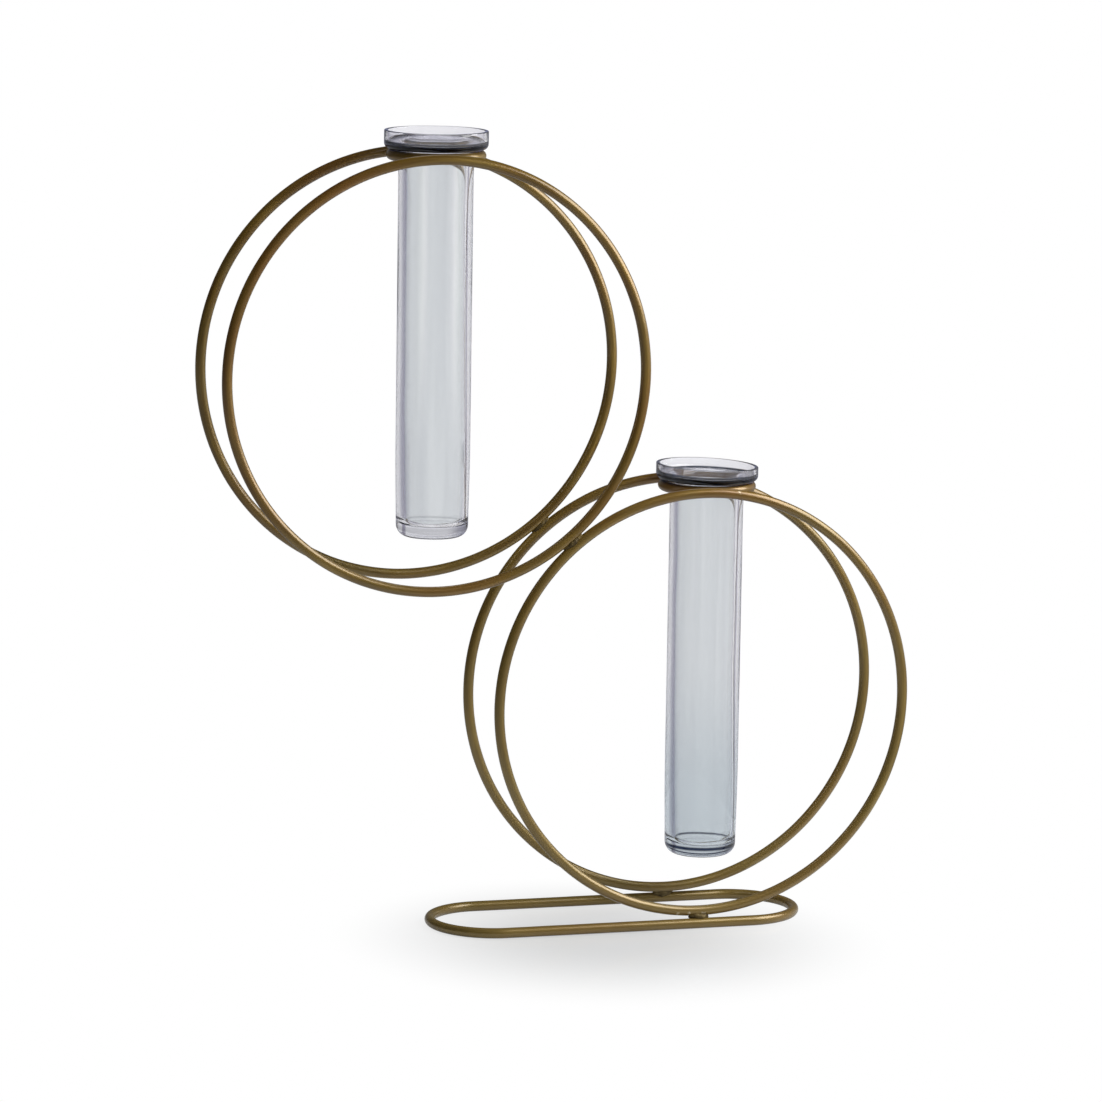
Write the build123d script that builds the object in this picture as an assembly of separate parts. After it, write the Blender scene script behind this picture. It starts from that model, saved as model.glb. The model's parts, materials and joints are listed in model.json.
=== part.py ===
from build123d import *
import math
import os

# A bud vase: two pairs of wire hoops, brazed one above the other on an oblong wire base, with a small
# wire collar between the crowns of each pair. A glass test tube hangs by its flared neck in each
# collar and lifts straight out. Millimetres, +Z up, front towards -Y, origin on the table under the middle.

# Wire stand
wire_d = 3.5                # round wire of the base, the hoops and the collars
hoop_mean_d = 144.0         # hoop diameter on the wire's centre line
stack_angle = 50.0          # degrees that the upper hoops climb to the left of the lower ones
base_straight = 88.0        # length of each straight of the base loop
base_right_reach = 19.5     # from the lower hoops' centre to the right end of the straights
base_outset = 1.8           # base straight outside the plane of the hoop that stands on it
lower_collar_shift = 5.9    # lower collar to the right of its hoops' crown
upper_collar_shift = 3.2    # upper collar to the right of its hoops' crown

# Braze beads: the gap that the braze fills, and how far a bead runs and swells
braze_gap = 0.25
base_braze_gap = 0.9
base_bead_length = 7.5
hoop_bead_length = 9.0
collar_bead_length = 6.0
bead_d = 3.7
bead_end_share = 0.55

# Glass tube
tube_d = 25.0
tube_wall = 2.5
lower_tube_length = 135.0   # rim to underside
upper_tube_length = 136.3
tube_floor = 4.0            # thick flat bottom
heel_radius = 4.0           # outside corner of the bottom
bore_heel_radius = 3.0      # inside corner of the bottom
neck_flare = 0.5            # neck beyond the side of the tube, just under the rim
neck_length = 8.0           # taper from the side of the tube to the neck
neck_bend = 60.0            # easy bend where the taper starts
rim_ledge = 4.4             # rim beyond the neck
rim_height = 5.2
rim_wall = 1.5
rim_shoulder = 1.9          # glass under the dish of the rim
lip_share = 0.46            # rounding of the lip, of the rim's wall
rim_heel_share = 0.45       # rounding under the rim, of the ledge
neck_share = 0.25           # fillet between neck and rim, of the ledge
dish_heel_share = 0.3       # rounding inside the dish, of the dish's floor
mouth_share = 0.66          # rounding from the dish into the bore, of the dish's floor

# Fits
collar_clearance = 0.2      # widest of the neck to the collar, all round
lower_seat_gap = 0.25       # rim to the top of the collar
upper_seat_gap = 1.3        # the same: this tube's neck wedges sooner

# Sizes that follow
wire_r = wire_d / 2
hoop_r = hoop_mean_d / 2
tube_r = tube_d / 2
bore_r = tube_r - tube_wall
neck_r = tube_r + neck_flare
rim_r = neck_r + rim_ledge
collar_mean_r = neck_r + collar_clearance + wire_r
hoop_y = collar_mean_r + wire_d + braze_gap
base_y = hoop_y + base_outset

# Places: the two pairs of hoops stand evenly to each side of the origin
stack_pitch = hoop_mean_d + wire_d + braze_gap
stack_x = stack_pitch * math.cos(math.radians(stack_angle))
stack_z = stack_pitch * math.sin(math.radians(stack_angle))
hoop_rise = math.sqrt((wire_d + base_braze_gap) ** 2 - base_outset ** 2)
lower_x = stack_x / 2
upper_x = -stack_x / 2
base_z = wire_r
lower_z = base_z + hoop_rise + hoop_r
upper_z = lower_z + stack_z


def collar_height(hoop_z, shift):
    """Height of the hoops' centre line where the collar meets them."""
    return hoop_z + math.sqrt(hoop_r ** 2 - shift ** 2)


def hoop(x, y, z):
    """Upright wire hoop, facing the front."""
    return Pos(x, y, z) * Rot(X=90) * Torus(hoop_r, wire_r)


def collar(x, z):
    """Flat wire ring that the tube hangs in."""
    return Pos(x, 0, z) * Torus(collar_mean_r, wire_r)


def base_loop():
    """Oblong loop of wire lying on the table: two straights and two half circles."""
    right_x = lower_x + base_right_reach
    left_x = right_x - base_straight
    path = Wire([
        Edge.make_line((left_x, -base_y, base_z), (right_x, -base_y, base_z)),
        Edge.make_three_point_arc(
            (right_x, -base_y, base_z), (right_x + base_y, 0, base_z), (right_x, base_y, base_z)),
        Edge.make_line((right_x, base_y, base_z), (left_x, base_y, base_z)),
        Edge.make_three_point_arc(
            (left_x, base_y, base_z), (left_x - base_y, 0, base_z), (left_x, -base_y, base_z)),
    ])
    section = Plane(origin=(left_x, -base_y, base_z), z_dir=(1, 0, 0)) * Circle(wire_r)
    return sweep(section, path=path)


def bead(at, length, climb, wires):
    """Braze bead: a blunt spindle along the wires where they meet, with the wires cut out of it."""
    end_r = bead_d / 2 * bead_end_share
    edge = ThreePointArc((-length / 2, end_r), (0, bead_d / 2), (length / 2, end_r))
    outline = edge + Polyline((length / 2, end_r), (length / 2, 0), (-length / 2, 0), (-length / 2, end_r))
    spindle = Pos(*at) * Rot(Y=-climb) * revolve(make_face(outline), axis=Axis.X)
    for wire in wires:
        spindle -= wire
    return spindle


def tube(x, collar_z, seat_gap, length):
    """Glass tube, one turned section: thick floor, straight wall, flared neck, dished rim, round lip."""
    ledge_z = length - rim_height
    dish_r = rim_r - rim_wall
    dish_floor = dish_r - bore_r
    lip = lip_share * rim_wall
    section = FilletPolyline(
        (0, 0), (tube_r, 0), (tube_r, ledge_z - neck_length), (neck_r, ledge_z), (rim_r, ledge_z),
        (rim_r, length), (dish_r, length), (dish_r, ledge_z + rim_shoulder),
        (bore_r, ledge_z + rim_shoulder), (bore_r, tube_floor), (0, tube_floor),
        radius=[heel_radius, neck_bend, neck_share * rim_ledge, rim_heel_share * rim_ledge, lip, lip,
                dish_heel_share * dish_floor, mouth_share * dish_floor, bore_heel_radius])
    profile = make_face(section + Line((0, tube_floor), (0, 0)))
    turned = revolve(Plane.XZ * profile, axis=Axis.Z)
    ledge_seat = collar_z + wire_r + seat_gap
    return Pos(x, 0, ledge_seat - ledge_z) * turned


# The wires, and the glass that hangs in them
lower_collar_x = lower_x + lower_collar_shift
upper_collar_x = upper_x + upper_collar_shift
lower_collar_z = collar_height(lower_z, lower_collar_shift)
upper_collar_z = collar_height(upper_z, upper_collar_shift)
nodes = {
    "base_loop": base_loop(),
    "lower_collar": collar(lower_collar_x, lower_collar_z),
    "upper_collar": collar(upper_collar_x, upper_collar_z),
    "lower_tube": tube(lower_collar_x, lower_collar_z, lower_seat_gap, lower_tube_length),
    "upper_tube": tube(upper_collar_x, upper_collar_z, upper_seat_gap, upper_tube_length),
}

# Front and back are alike: a hoop of each pair, and the beads that hold them
for side, way in (("front", -1), ("back", 1)):
    lower = hoop(lower_x, way * hoop_y, lower_z)
    upper = hoop(upper_x, way * hoop_y, upper_z)
    nodes[f"lower_{side}_hoop"] = lower
    nodes[f"upper_{side}_hoop"] = upper
    base_bead_at = (lower_x, way * (hoop_y + base_y) / 2, base_z + hoop_rise / 2)
    nodes[f"base_bead_{side}"] = bead(base_bead_at, base_bead_length, 0, [lower, nodes["base_loop"]])
    hoop_bead_at = (0, way * hoop_y, (lower_z + upper_z) / 2)
    nodes[f"hoop_bead_{side}"] = bead(hoop_bead_at, hoop_bead_length, 90 - stack_angle, [lower, upper])
    collar_bead_y = way * (collar_mean_r + wire_r + braze_gap / 2)
    nodes[f"lower_collar_bead_{side}"] = bead(
        (lower_collar_x, collar_bead_y, lower_collar_z), collar_bead_length, 0,
        [lower, nodes["lower_collar"]])
    nodes[f"upper_collar_bead_{side}"] = bead(
        (upper_collar_x, collar_bead_y, upper_collar_z), collar_bead_length, 0,
        [upper, nodes["upper_collar"]])

os.makedirs("parts", exist_ok=True)
for name, shape in nodes.items():
    export_step(shape, f"parts/{name}.step")
    print(name, round(shape.volume, 1))
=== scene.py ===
# %% [markdown]
# # A bud vase of wire hoops and hanging glass tubes
# The vase is a brazed stand of antique brass wire with two glass test tubes that lift out of it.
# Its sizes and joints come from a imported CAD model, which is loaded here as a fixed frame. This lesson
# gives that frame its looks: drawn wire with a rubbed patina, rough braze, and smoky hand-worked glass.

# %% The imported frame
import json
import math

import bmesh
import bpy
from mathutils import Matrix, Vector, noise


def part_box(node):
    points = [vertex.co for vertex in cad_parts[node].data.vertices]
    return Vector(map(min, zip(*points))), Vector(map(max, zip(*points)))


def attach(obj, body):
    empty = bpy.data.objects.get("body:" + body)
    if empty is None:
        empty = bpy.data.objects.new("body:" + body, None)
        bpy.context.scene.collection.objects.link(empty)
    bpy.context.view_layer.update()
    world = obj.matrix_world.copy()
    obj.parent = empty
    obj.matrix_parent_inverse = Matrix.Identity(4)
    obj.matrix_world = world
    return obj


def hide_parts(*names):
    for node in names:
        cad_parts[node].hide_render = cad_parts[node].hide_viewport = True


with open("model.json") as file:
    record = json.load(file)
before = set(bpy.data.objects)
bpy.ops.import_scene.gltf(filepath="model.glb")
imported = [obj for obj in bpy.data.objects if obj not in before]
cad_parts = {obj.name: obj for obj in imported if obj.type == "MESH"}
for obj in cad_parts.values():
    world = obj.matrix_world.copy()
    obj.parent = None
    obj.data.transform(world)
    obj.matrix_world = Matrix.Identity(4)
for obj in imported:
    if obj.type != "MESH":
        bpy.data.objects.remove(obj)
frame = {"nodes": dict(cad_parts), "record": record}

MM = 0.001
TO_FRONT = Vector((0, -1, 0))
UPWARD = Vector((0, 0, 1))
QUARTER_TURN = math.pi / 2
FULL_TURN = 2 * math.pi
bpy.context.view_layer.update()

# %% [markdown]
# ## The camera
# A long lens far away keeps the hoops nearly round, as in the photograph. The camera could be aimed by
# eye, but here it is set as a photographer would note it: turned to the left of the front, a little above
# the middle, and rolled about a degree. The focal length is in pixels of the square picture.

# %% Camera
PICTURE_PIXELS = 1102
SENSOR_MM = 36.0
focal_pixels = 5483.5
camera_turn = math.radians(-17.28)
camera_rise = math.radians(9.21)
camera_roll = math.radians(1.117)
camera_distance = 1.854
camera_target = Vector((-0.0017, 0.0, 0.1284))

backward = Vector((math.sin(camera_turn) * math.cos(camera_rise),
                   -math.cos(camera_turn) * math.cos(camera_rise),
                   math.sin(camera_rise)))
level_right = Vector((math.cos(camera_turn), math.sin(camera_turn), 0.0))
level_up = backward.cross(level_right)
camera_right = level_right * math.cos(camera_roll) + level_up * math.sin(camera_roll)
camera_up = backward.cross(camera_right)

lens = bpy.data.cameras.new("photo_camera")
lens.sensor_width = SENSOR_MM
lens.lens = focal_pixels * SENSOR_MM / PICTURE_PIXELS
camera = bpy.data.objects.new("photo_camera", lens)
aim = Matrix((camera_right, camera_up, backward)).transposed().to_4x4()
camera.matrix_world = Matrix.Translation(camera_target + backward * camera_distance) @ aim
bpy.context.scene.collection.objects.link(camera)
bpy.context.scene.camera = camera
print("camera", [round(value, 3) for value in camera.location], "lens", round(lens.lens, 1), "mm")

# %% [markdown]
# ## Sizes read from the frame
# Nothing is measured twice: the wire's thickness, the hoops' radius and every centre are read from the
# boxes of the CAD nodes, so the looks follow if the model is packed again with other sizes.

# %% Sizes from the frame
def middle(node):
    """Centre of a CAD node's box."""
    low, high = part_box(node)
    return (low + high) / 2


def extent(node):
    """Size of a CAD node's box."""
    low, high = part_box(node)
    return high - low


HOOPS = ("lower_front_hoop", "lower_back_hoop", "upper_front_hoop", "upper_back_hoop")
COLLARS = ("lower_collar", "upper_collar")
TUBES = ("lower_tube", "upper_tube")
BEADS = sorted(node for node in frame["nodes"] if "bead" in node)
wire_r = extent("base_loop").z / 2
hoop_r = extent("lower_front_hoop").x / 2 - wire_r
collar_r = extent("lower_collar").x / 2 - wire_r
base_y = extent("base_loop").y / 2 - wire_r
base_low, base_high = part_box("base_loop")
base_left = base_low.x + wire_r + base_y
base_right = base_high.x - wire_r - base_y
print("wire", round(2 * wire_r / MM, 2), "mm; hoop", round(2 * hoop_r / MM, 2), "mm; beads", len(BEADS))

# %% [markdown]
# ## Helper for finished pieces
# Each piece leaves its bmesh in the same way: doubles merged, normals turned outwards, smooth shading,
# one material, and a body of the frame to ride on. Doing it in one place means no piece is left out.

# %% Finished pieces
MERGE_GAP = 0.001 * MM


def finished(bm, name, body, material, replaced):
    """Turns a bmesh into a piece of the vase that stands for a CAD node."""
    bmesh.ops.remove_doubles(bm, verts=bm.verts[:], dist=MERGE_GAP)
    bmesh.ops.recalc_face_normals(bm, faces=bm.faces[:])
    mesh = bpy.data.meshes.new(name)
    bm.to_mesh(mesh)
    bm.free()
    mesh.polygons.foreach_set("use_smooth", [True] * len(mesh.polygons))
    mesh.materials.append(material)
    piece = bpy.data.objects.new(name, mesh)
    bpy.context.scene.collection.objects.link(piece)
    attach(piece, body)
    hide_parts(replaced)
    print(name, len(mesh.polygons), "faces")
    return piece


# %% [markdown]
# ## Helpers for finishes
# A finish is a small graph of shader nodes. Adding and linking the nodes one by one makes a long script,
# so this class wraps a node tree with the few steps that all finishes of the vase share: noise, ramps,
# mixes, sums and relief. A socket is given another socket, which links the two, or a plain value.

# %% Finishes
# A Mix node keeps its two colours and their mix at these places among its sockets
MIX_FIRST = 6
MIX_SECOND = 7
MIX_RESULT = 2
RAMP_MIDDLE = 0.5


def grey(value):
    """Colour without a hue."""
    return (value, value, value)


class Finish:
    """Short ways to build the nodes of one material, or of the world."""

    def __init__(self, owner):
        owner.use_nodes = True
        self.tree = owner.node_tree
        self.tree.nodes.clear()

    def give(self, socket, value):
        """Links a socket to another one, or sets it to a number, colour or vector."""
        if isinstance(value, bpy.types.NodeSocket):
            self.tree.links.new(value, socket)
        elif socket.type == "RGBA":
            socket.default_value = (*value, 1.0)
        else:
            socket.default_value = value

    def add(self, kind, inputs=None, **settings):
        """New node of a kind, with its settings and with what its inputs are given."""
        node = self.tree.nodes.new(kind)
        for key, value in settings.items():
            setattr(node, key, value)
        for key, value in (inputs or {}).items():
            self.give(node.inputs[key], value)
        return node

    def place(self):
        """Object coordinates, in metres."""
        return self.add("ShaderNodeTexCoord").outputs["Object"]

    def height(self, place):
        """Height of a place above the table."""
        return self.add("ShaderNodeSeparateXYZ", {"Vector": place}).outputs["Z"]

    def attribute(self, name):
        """A number that the piece keeps on its own points."""
        return self.add("ShaderNodeAttribute", attribute_name=name).outputs["Fac"]

    def clouds(self, place, scale, detail):
        """Soft noise, alike in every direction."""
        cloud = {"Vector": place, "Scale": scale, "Detail": detail}
        return self.add("ShaderNodeTexNoise", cloud).outputs["Fac"]

    def calculated(self, operation, *terms):
        """Arithmetic on sockets or plain numbers."""
        return self.add("ShaderNodeMath", dict(enumerate(terms)), operation=operation).outputs["Value"]

    def mixed(self, share, first, second):
        """Colour between two, each of them a socket or a plain colour."""
        colours = {"Factor": share, MIX_FIRST: first, MIX_SECOND: second}
        return self.add("ShaderNodeMix", colours, data_type="RGBA").outputs[MIX_RESULT]

    def ramp(self, share, stops):
        """Colour from a ramp with (place, colour) stops."""
        node = self.add("ShaderNodeValToRGB", {"Fac": share})
        elements = node.color_ramp.elements
        while len(elements) < len(stops):
            elements.new(RAMP_MIDDLE)
        for element, (stop, colour) in zip(elements, stops):
            element.position = stop
            element.color = (*colour, 1.0)
        return node.outputs["Color"]

    def rise(self, share, low, high, top):
        """0 up to a low value, and top from a high value on."""
        return self.ramp(share, [(low, grey(0.0)), (high, grey(top))])

    def eased(self, value, low, high, start=0.0, end=1.0):
        """Smooth step from start to end, as a value goes from low to high."""
        step = {"Value": value, "From Min": low, "From Max": high, "To Min": start, "To Max": end}
        return self.add("ShaderNodeMapRange", step, interpolation_type="SMOOTHSTEP").outputs["Result"]

    def relief(self, height, strength, distance):
        """Normal of a surface with a fine relief."""
        bump = {"Height": height, "Strength": strength, "Distance": distance}
        return self.add("ShaderNodeBump", bump).outputs["Normal"]


# %% [markdown]
# ## Antique brass
# The wire was drawn, darkened in a bath and rubbed back by hand, so fine streaks run along it, and brown
# and olive clouds stay where the cloth did not reach. A picture could be wrapped on it, but noise has no
# seams and no end. Streaks that follow a bent wire need to know where a point lies round the wire: that
# is kept in each wire's own UV map. Along the wire the pattern reads plain Object coordinates, so it
# closes without a seam.

# %% Patterns on the wire
def streaks(finish, place, around, along, count, detail):
    """Noise drawn out along the wire, with a number of streaks round it."""
    stretched = finish.add("ShaderNodeMapping", {"Vector": place, "Scale": grey(along)})
    streak = {"Vector": stretched.outputs["Vector"], "W": finish.calculated("MULTIPLY", around, count),
              "Scale": 1.0, "Detail": detail}
    return finish.add("ShaderNodeTexNoise", streak, noise_dimensions="4D").outputs["Fac"]


def wire_patterns(finish):
    """The patterns that the brass is mixed from, by name."""
    place = finish.place()
    round_wire = finish.add("ShaderNodeUVMap", uv_map="round_wire").outputs["UV"]
    around = finish.add("ShaderNodeSeparateXYZ", {"Vector": round_wire}).outputs["Y"]
    return {
        "broad": streaks(finish, place, around, along=32.0, count=5.0, detail=2.0),
        "fine": streaks(finish, place, around, along=60.0, count=12.0, detail=1.0),
        "hairs": streaks(finish, place, around, along=40.0, count=12.0, detail=0.0),
        "patina": finish.clouds(place, scale=38.0, detail=3.0),
        "stain": finish.clouds(place, scale=16.0, detail=2.0),
        "speckle": finish.clouds(place, scale=900.0, detail=2.0),
        "height": finish.height(place),
    }


# %% [markdown]
# ## Tones of the brass
# The tones are laid one over another: the rubbed metal with its dark streaks, then olive and brown clouds,
# as they came about on the real wire, then a paler khaki lower down. Two attributes say where the flame of
# the braze left black scale, and where a file left bare metal. On the collars the black scale is laid all
# round as painted shade, for the shadow under the glass rims.

# %% Tones of the brass
RUBBED_TONES = [(0.30, (0.160, 0.088, 0.012)), (0.52, (0.240, 0.147, 0.022)), (0.72, (0.330, 0.215, 0.042))]
DARK_STREAK = (0.085, 0.043, 0.007)
OLIVE_CLOUD = (0.190, 0.135, 0.034)
BROWN_STAIN = (0.205, 0.078, 0.012)
LOW_KHAKI = (0.280, 0.200, 0.058)
# near-black braze scale; laid all round the collars it is painted shade, for the shadow under the glass rims
FLAME_SCALE_AND_SHADE = (0.030, 0.018, 0.007)
BARE_METAL = (0.56, 0.47, 0.30)
dark_streak_share = 0.45
khaki_share = 0.55
khaki_low = 0.04
khaki_high = 0.17
scale_streak_share = 0.5


def rubbed_tone(finish, pattern):
    """Colour of the wire where neither the flame nor the file touched it."""
    tone = finish.ramp(pattern["broad"], RUBBED_TONES)
    dark = finish.rise(pattern["fine"], low=0.38, high=0.62, top=1.0)
    tone = finish.mixed(finish.calculated("MULTIPLY", dark, dark_streak_share), tone, DARK_STREAK)
    olive = finish.rise(pattern["patina"], low=0.50, high=0.70, top=0.7)
    tone = finish.mixed(olive, tone, OLIVE_CLOUD)
    brown = finish.rise(pattern["stain"], low=0.52, high=0.66, top=0.55)
    tone = finish.mixed(brown, tone, BROWN_STAIN)
    low_share = finish.eased(pattern["height"], khaki_low, khaki_high, start=khaki_share, end=0.0)
    return finish.mixed(low_share, tone, LOW_KHAKI)


def scale_and_shade_share(finish, pattern):
    """Share of black scale, with a streaky edge; on the collars it is painted shade as well."""
    streaky = finish.calculated("MULTIPLY", pattern["fine"], scale_streak_share)
    heat = finish.calculated("ADD", finish.attribute("heat"), streaky)
    return finish.rise(heat, low=0.55, high=1.0, top=0.85)


def bare_share(finish, pattern):
    """Share of bare metal, with a speckled edge."""
    bare = finish.calculated("MULTIPLY", finish.attribute("bare"), pattern["speckle"])
    return finish.rise(bare, low=0.40, high=0.52, top=1.0)


# %% [markdown]
# ## Gloss of the brass
# A thin lacquer keeps the rubbed metal from tarnishing. It could be left out, but its soft gloss over a
# duller metal is what tells brass wire from gold paint. The flame burnt it off beside each braze, so there
# the coat thins and the metal is rougher. It thins in the same way all round the collars, under their
# painted shade.

# %% Antique brass material
least_roughness = 0.29
streak_roughness = 0.16
scale_roughness = 0.2
lacquer_whole = 0.85
lacquer_burnt = 0.8
speckle_relief = 0.08


def antique_brass():
    """Drawn brass wire under lacquer, with the marks of the flame and the file."""
    material = bpy.data.materials.new("antique_brass_wire")
    finish = Finish(material)
    pattern = wire_patterns(finish)
    scale = scale_and_shade_share(finish, pattern)
    tone = finish.mixed(scale, rubbed_tone(finish, pattern), FLAME_SCALE_AND_SHADE)
    tone = finish.mixed(bare_share(finish, pattern), tone, BARE_METAL)
    rough = finish.calculated("MULTIPLY_ADD", pattern["fine"], streak_roughness, least_roughness)
    rough = finish.calculated("ADD", rough, finish.calculated("MULTIPLY", scale, scale_roughness))
    lacquer = finish.calculated("MULTIPLY_ADD", scale, -lacquer_burnt, lacquer_whole)
    speckle = finish.calculated("MULTIPLY", pattern["speckle"], speckle_relief)
    hairlines = finish.calculated("ADD", pattern["hairs"], speckle)
    shader = finish.add("ShaderNodeBsdfPrincipled", {
        "Base Color": tone, "Metallic": 0.45, "Roughness": rough, "Specular IOR Level": 0.2,
        "Coat Weight": lacquer, "Coat Roughness": 0.24, "Coat IOR": 1.6,
        "Normal": finish.relief(hairlines, strength=0.05, distance=0.08 * MM)})
    finish.add("ShaderNodeOutputMaterial", {"Surface": shader.outputs["BSDF"]})
    return material


brass = antique_brass()
print("material", brass.name, len(brass.node_tree.nodes), "nodes")

# %% [markdown]
# ## Marks on the wire
# Real wire that was bent round a former is never quite even, and the flame and the file left their marks
# on it. All of it could be painted by hand, but each mark is known by its place: heat fades with the
# distance from a braze, and each wire's points move inwards a few hundredths of a millimetre by smooth noise.
# A collar also gets a least share of the black scale all round: that share is painted shade, for the
# shadow under the glass rim.

# %% Marks of the flame and the file, painted shade, the UV map round the wire, and unevenness
heat_reach = 11.0 * MM
wobble = 0.05 * MM
wobble_scale = 60.0
HALF_ROUND = 0.5
braze_places = [middle(node) for node in BEADS]
print("brazes", len(braze_places), "with heat to", round(heat_reach / MM, 1), "mm")


def fading(distance, reach):
    """1 at no distance, and next to nothing at twice the reach."""
    return math.exp(-(distance / reach) ** 2)


def wire_finish(bm, around, bare_spots, least_shade=0.0):
    """Marks a wire, maps it and makes it uneven; least_shade lays painted shade all round it as black scale.
    around(point) gives the turn, 0 to 1, and the way out.
    """
    heat = bm.verts.layers.float.new("heat")
    bare = bm.verts.layers.float.new("bare")
    for vert in bm.verts:
        flame = [fading((vert.co - spot).length, heat_reach) for spot in braze_places]
        filed = [fading((vert.co - spot).length, reach) for spot, reach in bare_spots]
        # painted shade: least_shade darkens a whole wire as black scale, for the collars' shadow under the
        # rims
        vert[heat] = max(flame + [least_shade])
        vert[bare] = max(filed + [0.0])
    turns = {vert: around(vert.co) for vert in bm.verts}
    uv = bm.loops.layers.uv.new("round_wire")
    for face in bm.faces:
        values = [turns[loop.vert][0] for loop in face.loops]
        for loop, value in zip(face.loops, values):
            wraps = max(values) - value > HALF_ROUND
            loop[uv].uv = (0.0, value + 1.0 if wraps else value)
    for vert in bm.verts:
        vert.co -= turns[vert][1] * wobble * abs(noise.noise(vert.co * wobble_scale))


def ring_around(centre, axis, radius):
    """Turn round the section of a ring of wire, and the outward direction, at a point on it."""
    def at(point):
        arm = point - centre
        height = arm.dot(axis)
        flat = arm - axis * height
        outward = flat.length - radius
        direction = flat.normalized() * outward + axis * height
        return math.atan2(height, outward) / FULL_TURN + HALF_ROUND, direction.normalized()
    return at


# %% [markdown]
# ## Hoops and collars
# A hoop was bent round a former and its ends butted, and a collar is the same on a smaller former. A torus
# would do, but spin shows how such a ring comes about: one round section is swept about a centre, and a
# full turn is merged into a closed ring. The lower front hoop was filed at its foot and beside its crown.

# %% Hoops and collars
SECTION_SIDES = 36
HOOP_STEPS = 640
COLLAR_STEPS = 144
# painted shade: the collars are darkened all round as black scale, for the shadow under the glass rims
collar_painted_shade = 0.88
FILED_HOOP = "lower_front_hoop"
foot_mark_clocks = (176, 179, 183, 186)
foot_mark_side = 0.4
foot_mark_reach = 1.5 * MM
crown_mark_clock = 8.5
crown_mark_side = 0.6
crown_mark_reach = 1.6 * MM


def wire_ring(node, radius, axis, steps, bare_spots=(), least_shade=0.0):
    """Closed ring of wire about a node's centre."""
    centre = middle(node)
    bm = bmesh.new()
    lay = Matrix.Rotation(QUARTER_TURN, 4, "X") if axis == UPWARD else Matrix.Identity(4)
    start = Matrix.Translation(centre + Vector((radius, 0, 0))) @ lay
    bmesh.ops.create_circle(bm, segments=SECTION_SIDES, radius=wire_r, matrix=start)
    bmesh.ops.spin(bm, geom=bm.verts[:] + bm.edges[:], cent=centre, axis=axis,
                   angle=FULL_TURN, steps=steps, use_merge=True)
    wire_finish(bm, ring_around(centre, axis, radius), bare_spots, least_shade)
    return finished(bm, node + "_wire", "stand", brass, node)


def on_hoop(node, clock, side):
    """Point on a hoop's front face: clock in degrees from the crown, rightwards."""
    turn = math.radians(clock)
    out = Vector((math.sin(turn), 0, math.cos(turn)))
    return middle(node) + out * (hoop_r + side * wire_r) + TO_FRONT * wire_r


file_marks = [(on_hoop(FILED_HOOP, clock, foot_mark_side), foot_mark_reach) for clock in foot_mark_clocks]
file_marks.append((on_hoop(FILED_HOOP, crown_mark_clock, crown_mark_side), crown_mark_reach))
for node in HOOPS:
    wire_ring(node, hoop_r, TO_FRONT, HOOP_STEPS, file_marks if node == FILED_HOOP else ())
for node in COLLARS:
    wire_ring(node, collar_r, UPWARD, COLLAR_STEPS, least_shade=collar_painted_shade)

# %% [markdown]
# ## The base loop
# The base is the same wire bent to an oblong: straight, half turn, straight, half turn. A curve with a
# round bevel would make it too. Here a section is extruded along each straight and spun round each end,
# in the order that a bending jig would do it, which keeps the steps along the wire even.

# %% Base loop
STRAIGHT_STEPS = 90
END_STEPS = 64
LOOP_MERGE_GAP = 0.01 * MM


def pulled(bm, edges, run, steps):
    """Extrudes an open ring of edges along a straight run, and returns the last ring."""
    for _ in range(steps):
        grown = bmesh.ops.extrude_edge_only(bm, edges=edges)["geom"]
        verts = [item for item in grown if isinstance(item, bmesh.types.BMVert)]
        edges = [item for item in grown if isinstance(item, bmesh.types.BMEdge)
                 and all(vert in verts for vert in item.verts)]
        bmesh.ops.translate(bm, verts=verts, vec=run / steps)
    return edges


def turned(bm, edges, centre):
    """Spins an open ring of edges half a turn about an upright axis, and returns the last ring."""
    verts = list({vert for edge in edges for vert in edge.verts})
    spun = bmesh.ops.spin(bm, geom=verts + edges, cent=centre, axis=UPWARD, angle=math.pi, steps=END_STEPS)
    return [item for item in spun["geom_last"] if isinstance(item, bmesh.types.BMEdge)]


def base_around(point):
    """Turn round the wire of the base loop, and the outward direction, at a point on it."""
    nearest = Vector((min(max(point.x, base_left), base_right), 0, wire_r))
    return ring_around(nearest, UPWARD, base_y)(point)


bm = bmesh.new()
section_at = Matrix.Translation((base_left, -base_y, wire_r)) @ Matrix.Rotation(QUARTER_TURN, 4, "Y")
bmesh.ops.create_circle(bm, segments=SECTION_SIDES, radius=wire_r, matrix=section_at)
straight = Vector((base_right - base_left, 0, 0))
ring = pulled(bm, bm.edges[:], straight, STRAIGHT_STEPS)
ring = turned(bm, ring, Vector((base_right, 0, wire_r)))
ring = pulled(bm, ring, -straight, STRAIGHT_STEPS)
turned(bm, ring, Vector((base_left, 0, wire_r)))
bmesh.ops.remove_doubles(bm, verts=bm.verts[:], dist=LOOP_MERGE_GAP)
wire_finish(bm, base_around, ())
finished(bm, "base_loop_wire", "stand", brass, "base_loop")

# %% [markdown]
# ## Braze
# Where two wires meet, molten filler ran between them and froze, brown and olive from the flame and the
# flux. It is the same family of metal as the wire, so the brass could be used again, but braze is never
# rubbed or drawn: it has blotches instead of streaks, pits, and no lacquer.

# %% Braze material
BRAZE_TONES = [(0.34, (0.045, 0.030, 0.010)), (0.50, (0.120, 0.083, 0.026)), (0.66, (0.185, 0.138, 0.055))]
blotch_scale = 420.0
pit_scale = 1100.0


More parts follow.
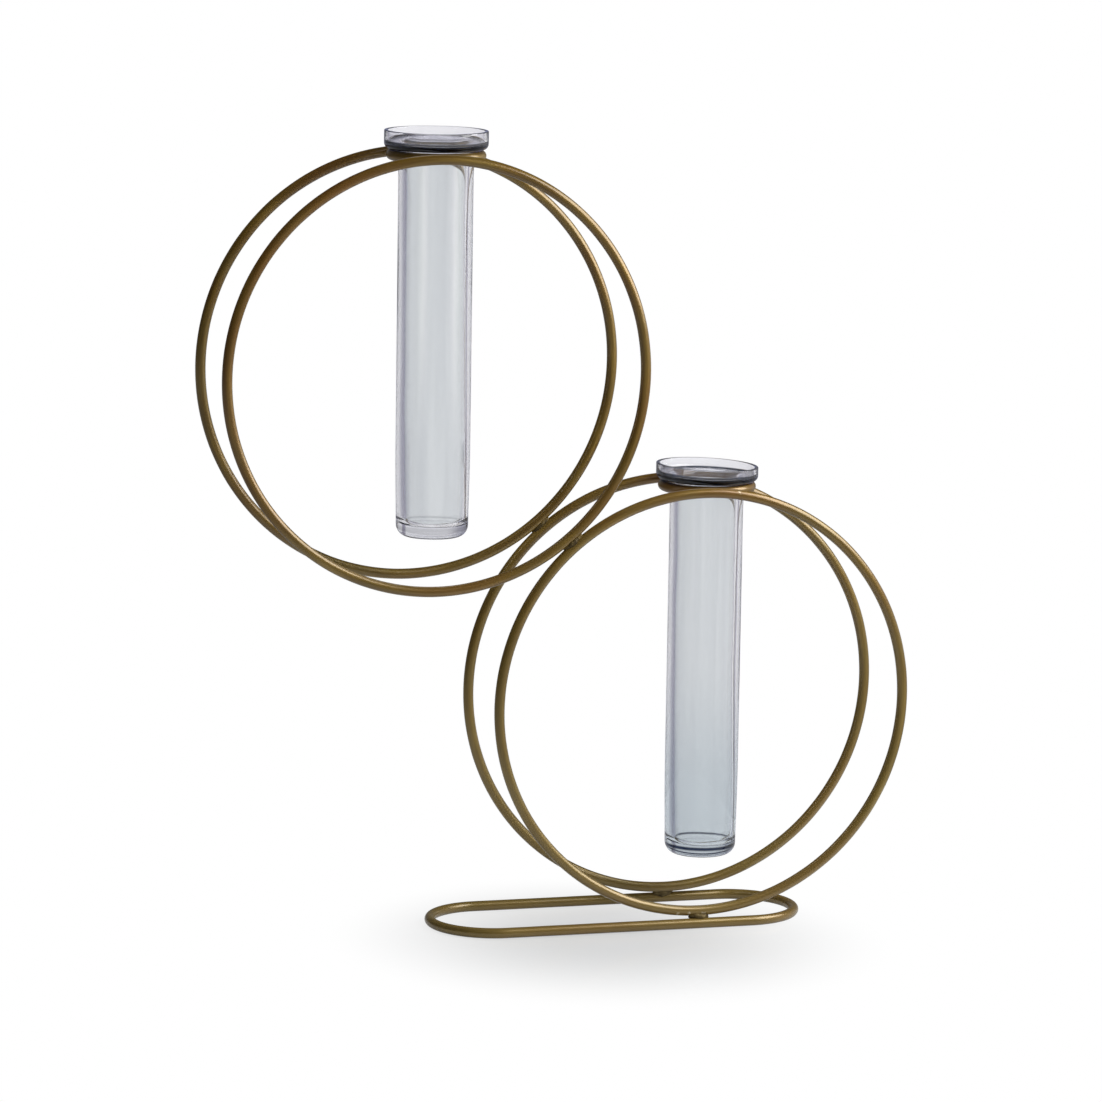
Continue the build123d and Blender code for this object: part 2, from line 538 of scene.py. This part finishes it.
def braze_metal():
    """Dull filler metal with blotches and pits."""
    material = bpy.data.materials.new("braze_filler")
    finish = Finish(material)
    place = finish.place()
    blotches = finish.clouds(place, blotch_scale, detail=5.0)
    pits = finish.add("ShaderNodeTexVoronoi", {"Vector": place, "Scale": pit_scale})
    shader = finish.add("ShaderNodeBsdfPrincipled", {
        "Base Color": finish.ramp(blotches, BRAZE_TONES), "Metallic": 0.5, "Roughness": 0.52,
        "Normal": finish.relief(pits.outputs["Distance"], strength=0.6, distance=0.25 * MM)})
    finish.add("ShaderNodeOutputMaterial", {"Surface": shader.outputs["BSDF"]})
    return material


braze = braze_metal()
print("material", braze.name, len(braze.node_tree.nodes), "nodes")

# %% [markdown]
# ## Lumps of braze
# A frozen lump of filler is round where it was molten and uneven where it cooled. It could be sculpted,
# but a fine icosphere, stretched along the joint and pushed in and out by noise, gives each joint its own
# lump from the same few lines. Beads between two hoops lean with the line on which the hoops meet.

# %% Braze lumps
LUMP_SUBDIVISIONS = 5
lump_height = 0.45 * MM
lump_scale = 480.0
lump_sink = 0.15
collar_bead_half_size = Vector((3.2, 1.3, 1.75)) * MM
bead_half_sizes = {"base": Vector((3.8, 1.75, 1.5)) * MM, "hoop": Vector((4.0, 1.6, 1.5)) * MM,
                   "lower": collar_bead_half_size, "upper": collar_bead_half_size}
hoop_climb = math.atan2(middle("upper_front_hoop").z - middle("lower_front_hoop").z,
                        middle("lower_front_hoop").x - middle("upper_front_hoop").x)

for node in BEADS:
    kind = node.split("_")[0]
    lean = QUARTER_TURN - hoop_climb if kind == "hoop" else 0.0
    set_down = Matrix.Translation(middle(node)) @ Matrix.Rotation(-lean, 4, "Y")
    bm = bmesh.new()
    bmesh.ops.create_icosphere(bm, subdivisions=LUMP_SUBDIVISIONS, radius=1.0)
    bmesh.ops.scale(bm, verts=bm.verts[:], vec=bead_half_sizes[kind])
    bmesh.ops.transform(bm, matrix=set_down, verts=bm.verts[:])
    bm.normal_update()
    for vert in bm.verts:
        vert.co += vert.normal * lump_height * (noise.noise(vert.co * lump_scale) - lump_sink)
    finished(bm, node + "_lump", "stand", braze, node)

# %% [markdown]
# ## Tints of the glass
# The tubes are clear glass with a faint grey smoke. Towards the foot the tint turns cooler and darker, which
# is painted shade for the grey floor seen through the glass. The tint could be one plain colour, but real
# glass shows its making: faint lines run along it from the draw. A few pale streaks among them are painted
# highlights. The bore's skin darkens at a glancing look, a painted dark line that marks the wall's thickness
# from every side. The rim's heel and the foot hold a painted dark band, painted shade for the dark of the
# room that thick glass bends. Glass tints what crosses it by the root of its colour, so that painted dark is
# very dark.

# %% Tints of the glass
SMOKE_DEEP = (0.767, 0.804, 0.801)
SMOKE_PALE = (0.851, 0.890, 0.875)
# painted shade: cooler, darker smoke and skin towards the foot, for the grey floor seen through the glass
FLOOR_SHADE_SMOKE = (0.87, 0.88, 0.877)
CLEAR_SKIN = (0.885, 0.88, 0.92)
FLOOR_SHADE_SKIN = (0.66, 0.72, 0.77)
# painted shade: the dark line at a glancing look through the bore's skin
PAINTED_EDGE_SHADE = (0.33, 0.33, 0.40)
# painted shade: the dark band in the rim's heel and the foot, for the dark room bent through thick glass
PAINTED_DARK_BAND = (0.0001, 0.0007, 0.006)
# painted highlight: the pale streaks down the tubes
PAINTED_HIGHLIGHT_BAND = (0.99, 1.0, 0.995)
PAINTED_INNER_EDGE = [(0.17, grey(0.0)), (0.26, grey(0.55)), (0.42, grey(0.0))]
floor_shade_foot = 0.035
floor_shade_top = 0.095


def painted_edge_line(finish):
    """Share of the painted dark edge line, for a look from the air and for one from inside the glass."""
    glance = finish.add("ShaderNodeLayerWeight").outputs["Facing"]
    from_air = finish.rise(glance, low=0.74, high=0.95, top=0.85)
    from_glass = finish.ramp(glance, PAINTED_INNER_EDGE)
    inner_side = finish.add("ShaderNodeNewGeometry").outputs["Backfacing"]
    return finish.mixed(inner_side, from_air, from_glass)


def glass_tint(finish, place, draw_lines):
    """Colour of the glass: smoke in the bore, a clear skin outside, and painted shade and highlights: cooler
    and darker towards the foot, a dark edge line, dark bands and pale streaks.
    """
    floor_shade = finish.eased(finish.height(place), floor_shade_foot, floor_shade_top, start=1.0, end=0.0)
    smoke = finish.ramp(draw_lines, [(0.35, SMOKE_DEEP), (0.65, SMOKE_PALE)])
    smoke = finish.mixed(floor_shade, smoke, FLOOR_SHADE_SMOKE)
    bore = finish.mixed(painted_edge_line(finish), smoke, PAINTED_EDGE_SHADE)
    skin = finish.mixed(floor_shade, CLEAR_SKIN, FLOOR_SHADE_SKIN)
    tint = finish.mixed(finish.attribute("bore"), skin, bore)
    tint = finish.mixed(finish.attribute("painted_dark_band"), tint, PAINTED_DARK_BAND)
    return finish.mixed(finish.attribute("painted_highlight_band"), tint, PAINTED_HIGHLIGHT_BAND)


# %% [markdown]
# ## Smoky glass
# A glass shader alone would look like clear crystal. An absorbing volume is added, because real tint
# gathers with depth: thick edges and the thick foot come out darker by themselves. A little sheen gives
# the blue-grey bloom of glass that has stood in a room.

# %% Smoky glass material
GLASS_DEPTH = (0.60, 0.62, 0.66)
BLOOM_BLUE = (0.42, 0.48, 1.0)
draw_line_scale = Vector((260.0, 260.0, 9.0))


def smoky_glass():
    """Hand-drawn glass with a smoky tint."""
    material = bpy.data.materials.new("smoky_glass_tube")
    finish = Finish(material)
    place = finish.place()
    drawn = finish.add("ShaderNodeMapping", {"Vector": place, "Scale": draw_line_scale})
    draw_lines = finish.clouds(drawn.outputs["Vector"], scale=1.0, detail=3.0)
    shader = finish.add("ShaderNodeBsdfPrincipled", {
        "Base Color": glass_tint(finish, place, draw_lines), "Transmission Weight": 0.96, "IOR": 1.5,
        "Roughness": 0.01, "Sheen Weight": 0.3, "Sheen Roughness": 0.25, "Sheen Tint": BLOOM_BLUE,
        "Normal": finish.relief(draw_lines, strength=0.08, distance=0.1 * MM)})
    depth = finish.add("ShaderNodeVolumeAbsorption", {"Color": GLASS_DEPTH, "Density": 24.0})
    finish.add("ShaderNodeOutputMaterial",
               {"Surface": shader.outputs["BSDF"], "Volume": depth.outputs["Volume"]})
    return material


glass = smoky_glass()
print("material", glass.name, len(glass.node_tree.nodes), "nodes")

# %% [markdown]
# ## Section of a tube
# A test tube is a turned shape: a glass tube closed at the foot, with a wide dished rim worked at its
# mouth. A cylinder could be pushed into shape, but half of the section says it all. It is drawn as
# fourteen points, and a vertex bevel rounds each corner. Three of them lie on straight runs: they only
# end the tint of a painted dark band, which would fade along the whole run without them.

# %% Tube section
CORNER_STEPS = 8
tube_r = 12.5 * MM
bore_r = frame["record"]["mounts"][0]["dims"]["r_mm"] * MM
tube_floor = 4.0 * MM
heel_rounding = 4.0 * MM
bore_heel_rounding = 3.0 * MM
neck_flare = 0.5 * MM
neck_r = tube_r + neck_flare
neck_length = 8.0 * MM
neck_bend = 2.0 * MM
neck_fillet = 1.1 * MM
rim_heights = {"lower_tube": 5.2 * MM, "upper_tube": 6.3 * MM}
rim_wall = 1.2 * MM
rim_heel_rounding = 2.0 * MM
rim_shoulder = 1.9 * MM
lip_rounding = 0.28 * MM
dish_rounding = 1.2 * MM
mouth_rounding = 3.2 * MM
# ends of the painted dark bands in the foot and in the rim's heel
foot_dark_end = 4.4 * MM
foot_clear_start = 5.0 * MM
rim_dark_top = 2.3 * MM
print("tube", round(2 * tube_r / MM, 1), "mm; bore", round(2 * bore_r / MM, 1), "mm")


def tube_section(bm, height, ledge, rim_r):
    """Half section of a tube in the XZ plane, foot at the origin, with rounded corners."""
    dish_r = rim_r - rim_wall
    corners = [
        ((0.0, 0.0), 0.0),
        ((tube_r, 0.0), heel_rounding),
        ((tube_r, foot_dark_end), 0.0),
        ((tube_r, foot_clear_start), 0.0),
        ((tube_r, ledge - neck_length), neck_bend),
        ((neck_r, ledge), neck_fillet),
        ((rim_r, ledge), rim_heel_rounding),
        ((rim_r, ledge + rim_dark_top), 0.0),
        ((rim_r, height), lip_rounding),
        ((dish_r, height), lip_rounding),
        ((dish_r, ledge + rim_shoulder), dish_rounding),
        ((bore_r, ledge + rim_shoulder), mouth_rounding),
        ((bore_r, tube_floor), bore_heel_rounding),
        ((0.0, tube_floor), 0.0),
    ]
    verts = [bm.verts.new((across, 0.0, up)) for (across, up), _ in corners]
    for first, second in zip(verts, verts[1:]):
        bm.edges.new((first, second))
    for vert, (_, rounding) in zip(verts, corners):
        if rounding:
            bmesh.ops.bevel(bm, geom=[vert], affect="VERTICES", offset=rounding, segments=CORNER_STEPS,
                            profile=0.5, material=-1)


# %% [markdown]
# ## Bands in the glass
# The glass needs to know its bore from its outside, and where its painted dark bands and painted highlight
# streaks lie. An image could be painted for that, but each point's own place answers it: three attributes
# are worked out from the height, the distance from the axis and the turn from the tube's front, and the tint
# reads them.

# %% Bands in the glass
wall_middle = (tube_r + bore_r) / 2
floor_margin = 0.1 * MM
# painted shade: the dark ring in the foot
ring_low = 2.9 * MM
ring_high = 4.1 * MM
ring_spread = 0.22 * MM
ring_inner = 9.0 * MM
dark_ring_depth = {"lower_tube": 1.0, "upper_tube": 0.4}
rim_margin = 1.0 * MM
rim_start = neck_r + rim_margin
rim_dark_fade = 0.6 * MM
rim_painted_dark = {"lower_tube": 1.0, "upper_tube": 0.998}
painted_dark_shows = 0.5
# painted highlights: turns and depths of the pale streaks
highlight_turns = {"lower_tube": ((24, 0.3), (-38, 0.2)),
                "upper_tube": ((24, 1.0), (122, 0.8), (-38, 0.6), (-176, 0.6))}
highlight_width = math.radians(7)
highlight_start_share = 0.15
highlight_rise_share = 0.5


def soft_step(value):
    """0 below 0, 1 above 1, and smooth between."""
    value = min(max(value, 0.0), 1.0)
    return value * value * (3 - 2 * value)


def from_axis(point):
    """Distance of a point from the tube's axis."""
    return math.hypot(point.x, point.y)


def inside_tube(point):
    """Whether a point lies on the inner side of the wall."""
    return from_axis(point) < wall_middle and point.z > tube_floor - floor_margin


def painted_dark_at(node, point, ledge):
    """Depth of the painted dark bands in the heel of the rim and in the foot, painted shade for the dark room
    seen through thick glass.
    """
    across = from_axis(point)
    if across > rim_start:
        return rim_painted_dark[node] * soft_step((ledge + rim_dark_top - point.z) / rim_dark_fade)
    if inside_tube(point) or across < ring_inner:
        return 0.0
    off_ring = max(ring_low - point.z, point.z - ring_high, 0.0)
    return dark_ring_depth[node] * fading(off_ring, ring_spread)


def painted_highlight_at(node, point, ledge, height):
    """Depth of the pale streaks, painted highlights on the glass that fade out towards the foot."""
    if point.z >= ledge or from_axis(point) <= tube_r / 2:
        return 0.0
    turn = math.atan2(point.x, -point.y)
    clear = soft_step((point.z - highlight_start_share * height) / (highlight_rise_share * height))
    return clear * max(depth * fading(turn - math.radians(clock), highlight_width)
                       for clock, depth in highlight_turns[node])


def mark_glass(bm, node, ledge, height):
    """Keeps the bore, the painted dark bands and the painted highlight streaks on the points of a tube."""
    bore = bm.verts.layers.float.new("bore")
    painted_dark_band = bm.verts.layers.float.new("painted_dark_band")
    painted_highlight_band = bm.verts.layers.float.new("painted_highlight_band")
    for vert in bm.verts:
        vert[bore] = 1.0 if inside_tube(vert.co) and vert.co.z < ledge else 0.0
        vert[painted_dark_band] = painted_dark_at(node, vert.co, ledge)
        vert[painted_highlight_band] = painted_highlight_at(node, vert.co, ledge, height)
    painted_dark_points = sum(vert[painted_dark_band] > painted_dark_shows for vert in bm.verts)
    print(node, painted_dark_points, "of", len(bm.verts), "points in dark bands")


# %% [markdown]
# ## Hand-worked glass
# The tubes were drawn by hand. The foot tapers a little, the bore wanders inside the wall, the tubes hang
# a quarter of a degree off upright, and the lower tube's rim sits askew on its neck. A lathe would
# give none of that, so each point of the turned shape is moved a little, by smooth steps along the tube.

# %% Hand-worked shape
foot_taper = 0.03
foot_taper_height = 30.0 * MM
bore_wander = 0.16 * MM
bore_wander_scale = 45.0
bore_wander_apart = 50.0
bore_drift = 0.65 * MM
bore_drift_height = 70.0 * MM
hang_lean = math.radians(0.25)
rim_skew = {"lower_tube": math.radians(2.0), "upper_tube": 0.0}
ledge_skew_share = 0.4


def wander_bore(vert, ledge, axis_x):
    """Moves a point of the bore sideways inside the wall."""
    fade = soft_step((ledge - neck_length - vert.co.z) / neck_length)
    drift = soft_step(1.0 - vert.co.z / bore_drift_height)
    own_place = vert.co * bore_wander_scale + Vector((axis_x * bore_wander_apart, 0, 0))
    wander = noise.noise_vector(own_place)
    vert.co += Vector((wander.x, wander.y, 0.0)) * bore_wander * fade
    vert.co.x += bore_drift * drift


def work_glass(bm, node, ledge, height, axis_x):
    """Moves the points of a turned tube as working by hand does."""
    for vert in bm.verts:
        wall_bore = inside_tube(vert.co) and from_axis(vert.co) > tube_r / 2
        slim = 1.0 - foot_taper * soft_step(1.0 - vert.co.z / foot_taper_height)
        vert.co.x *= slim
        vert.co.y *= slim
        if wall_bore and vert.co.z < ledge - neck_length:
            wander_bore(vert, ledge, axis_x)
        lift = ledge_skew_share * soft_step((vert.co.z - ledge + neck_length) / neck_length)
        lift += (1.0 - ledge_skew_share) * soft_step((vert.co.z - ledge) / (height - ledge))
        vert.co.z -= vert.co.x * math.tan(rim_skew[node]) * lift
        vert.co.x += max(ledge - vert.co.z, 0.0) * math.tan(hang_lean)


# %% [markdown]
# ## Glass tubes
# Everything for a tube is ready. Its long runs are cut into short steps, so that they can bend, spin turns
# the section about the axis, and the finished tube is set down where the CAD tube hangs.

# %% Glass tubes
TURN_STEPS = 160
TALL_STEPS = 40
TURNED_MERGE_GAP = 0.002 * MM


def glass_tube(node):
    """Tube of hand-worked glass that hangs in its collar."""
    low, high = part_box(node)
    axis_x = (low.x + high.x) / 2
    height = high.z - low.z
    ledge = height - rim_heights[node]
    bm = bmesh.new()
    tube_section(bm, height, ledge, (high.x - low.x) / 2)
    tall = [edge for edge in bm.edges if edge.calc_length() > height / 2]
    bmesh.ops.subdivide_edges(bm, edges=tall, cuts=TALL_STEPS)
    bmesh.ops.spin(bm, geom=bm.verts[:] + bm.edges[:], cent=(0, 0, 0), axis=UPWARD,
                   angle=FULL_TURN, steps=TURN_STEPS, use_merge=True)
    bmesh.ops.remove_doubles(bm, verts=bm.verts[:], dist=TURNED_MERGE_GAP)
    mark_glass(bm, node, ledge, height)
    work_glass(bm, node, ledge, height, axis_x)
    bmesh.ops.translate(bm, verts=bm.verts[:], vec=(axis_x, 0, low.z))
    return finished(bm, node + "_glass", node + "_body", glass, node)


for node in TUBES:
    glass_tube(node)

# %% [markdown]
# ## Floor
# The vase stands on a pale table that fades into a white background. A large white plane would need a lot
# of light to come out white. Instead the table glows for the camera, fully at its edge and less under the
# vase, where a grey surface takes the shadow and leaves a soft patch. Metal sees a share of that glow, and
# a look through the glass passes the table by and meets the white room.

# %% Floor
FLOOR_SIDES = 96
TABLE_GREY = (0.50, 0.51, 0.52)
floor_radius = 0.21
patch_glow = 0.45
table_in_metal = 0.25
patch_inner = 0.1
patch_outer = 1.0
patch_half_size = Vector((0.098, 0.10, 1.0))
patch_centre = Vector((0.012, -0.03, 0.0))


def pale_table():
    """Table that glows white but for a soft patch under the vase."""
    material = bpy.data.materials.new("white_table")
    finish = Finish(material)
    patch = {"Vector": finish.place(), "Location": patch_centre, "Scale": patch_half_size}
    centred = finish.add("ShaderNodeMapping", patch, vector_type="TEXTURE")
    distance = finish.add("ShaderNodeVectorMath", {0: centred.outputs["Vector"]}, operation="LENGTH")
    fade = finish.eased(distance.outputs["Value"], patch_inner, patch_outer, start=patch_glow)
    path = finish.add("ShaderNodeLightPath")
    in_metal = finish.calculated("MULTIPLY", path.outputs["Is Glossy Ray"], table_in_metal)
    seen = finish.calculated("MAXIMUM", path.outputs["Is Camera Ray"], in_metal)
    table = finish.add("ShaderNodeBsdfPrincipled", {
        "Base Color": TABLE_GREY, "Roughness": 0.15, "Specular IOR Level": 0.25})
    white = finish.add("ShaderNodeEmission")
    shown = finish.add("ShaderNodeMixShader", {
        "Fac": finish.calculated("MULTIPLY", seen, fade), 1: table.outputs["BSDF"],
        2: white.outputs["Emission"]})
    passed = finish.add("ShaderNodeBsdfTransparent")
    through_glass = finish.add("ShaderNodeMixShader", {
        "Fac": path.outputs["Is Transmission Ray"], 1: shown.outputs["Shader"], 2: passed.outputs["BSDF"]})
    finish.add("ShaderNodeOutputMaterial", {"Surface": through_glass.outputs["Shader"]})
    return material


bm = bmesh.new()
bmesh.ops.create_circle(bm, cap_ends=True, segments=FLOOR_SIDES, radius=floor_radius)
floor_mesh = bpy.data.meshes.new("floor")
bm.to_mesh(floor_mesh)
bm.free()
floor_mesh.materials.append(pale_table())
floor_mesh.transform(Matrix.Translation(patch_centre))
floor = bpy.data.objects.new("floor", floor_mesh)
bpy.context.scene.collection.objects.link(floor)
print("floor", round(2 * floor_radius, 2), "m across")

# %% [markdown]
# ## The studio
# Metal and glass show the room round them. A picture of a room could light the scene, but a few soft
# steps say what this one is like. For metal it is bright to the right and below, and dark elsewhere, so
# round wire gets a pale right side and a dark left one. Through the glass the room is white, dimmer to the
# left, with one grey line to the right that the glass draws as a thin stroke. The camera sees plain white.

# %% Studio sky
LEFT_DIM = (0.44, 0.44, 0.51)
RIGHT_LINE = (0.40, 0.38, 0.46)
OVERHEAD = (0.95, 0.95, 1.0)
into_picture = Vector((-backward.x, -backward.y, 0)).normalized()
room_left = 0.05
room_sides = [
    {"towards": level_right, "start": -0.4, "full": 0.8, "level": 0.50},
    {"towards": -into_picture, "start": 0.3, "full": 0.9, "level": 0.05},
    {"towards": into_picture, "start": 0.7, "full": 0.95, "level": 0.15},
    {"towards": UPWARD, "start": 0.12, "full": 0.5, "level": 0.03},
    {"towards": -UPWARD, "start": 0.05, "full": 0.15, "level": 0.30},
]

world = bpy.data.worlds.new("white_studio")
bpy.context.scene.world = world
studio = Finish(world)
look = studio.add("ShaderNodeTexCoord").outputs["Generated"]


def facing(towards, start, full):
    """0 to 1 as a look turns towards a direction, between two cosines."""
    dot = studio.add("ShaderNodeVectorMath", {0: look, 1: towards}, operation="DOT_PRODUCT")
    return studio.eased(dot.outputs["Value"], start, full)


room = grey(room_left)
for side in room_sides:
    turned_there = facing(side["towards"], side["start"], side["full"])
    room = studio.mixed(turned_there, room, grey(side["level"]))
through = studio.mixed(facing(-level_right, start=0.25, full=0.78), grey(1.0), LEFT_DIM)
line_start = facing(level_right, start=0.54, full=0.60)
line_end = facing(level_right, start=0.66, full=0.72)
through = studio.mixed(studio.calculated("SUBTRACT", line_start, line_end), through, RIGHT_LINE)
through = studio.mixed(facing(UPWARD, start=0.55, full=0.9), through, OVERHEAD)
path = studio.add("ShaderNodeLightPath")
shown = studio.mixed(path.outputs["Is Transmission Ray"], room, through)
shown = studio.mixed(path.outputs["Is Camera Ray"], shown, grey(1.0))
sky = studio.add("ShaderNodeBackground", {"Color": shown})
studio.add("ShaderNodeOutputWorld", {"Surface": sky.outputs["Background"]})
print("studio sky", len(world.node_tree.nodes), "nodes")

# %% [markdown]
# ## Soft lamps
# Three soft lamps light the vase. The one at the right is a softbox that the wire shows as a pale line.
# The large ones in front and behind lift the shadows. They are hidden from reflections, because a large
# white lamp seen in brass would wash its colour out, and they only add soft light to it.

# %% Soft lamps
def studio_place(right, up, inward):
    """Place of a lamp, as seen from the camera, in metres from the middle of the table."""
    return level_right * right + UPWARD * up + into_picture * inward


soft_lamps = [
    {"name": "side_softbox", "place": studio_place(right=0.42, up=0.40, inward=-0.06),
     "width": 0.46, "height": 0.34, "power": 2.8, "in_reflections": True},
    {"name": "front_softbox", "place": studio_place(right=0.35, up=0.80, inward=-0.60),
     "width": 1.2, "height": 1.2, "power": 5.4, "in_reflections": False},
    {"name": "back_softbox", "place": studio_place(right=-0.35, up=0.80, inward=0.60),
     "width": 1.2, "height": 1.2, "power": 6.0, "in_reflections": False},
]


def soft_lamp(name, place, width, height, power, in_reflections):
    """Soft lamp that faces the vase, unseen by the camera and through the glass."""
    lamp = bpy.data.lights.new(name, "AREA")
    lamp.shape = "RECTANGLE"
    lamp.size = width
    lamp.size_y = height
    lamp.energy = power
    holder = bpy.data.objects.new(name, lamp)
    holder.location = place
    holder.rotation_euler = (camera_target - place).to_track_quat("-Z", "Y").to_euler()
    holder.visible_camera = False
    holder.visible_transmission = False
    holder.visible_glossy = in_reflections
    bpy.context.scene.collection.objects.link(holder)
    print(name, [round(value, 2) for value in place], power, "W")


for lamp in soft_lamps:
    soft_lamp(**lamp)
bpy.context.scene.view_settings.view_transform = "Standard"
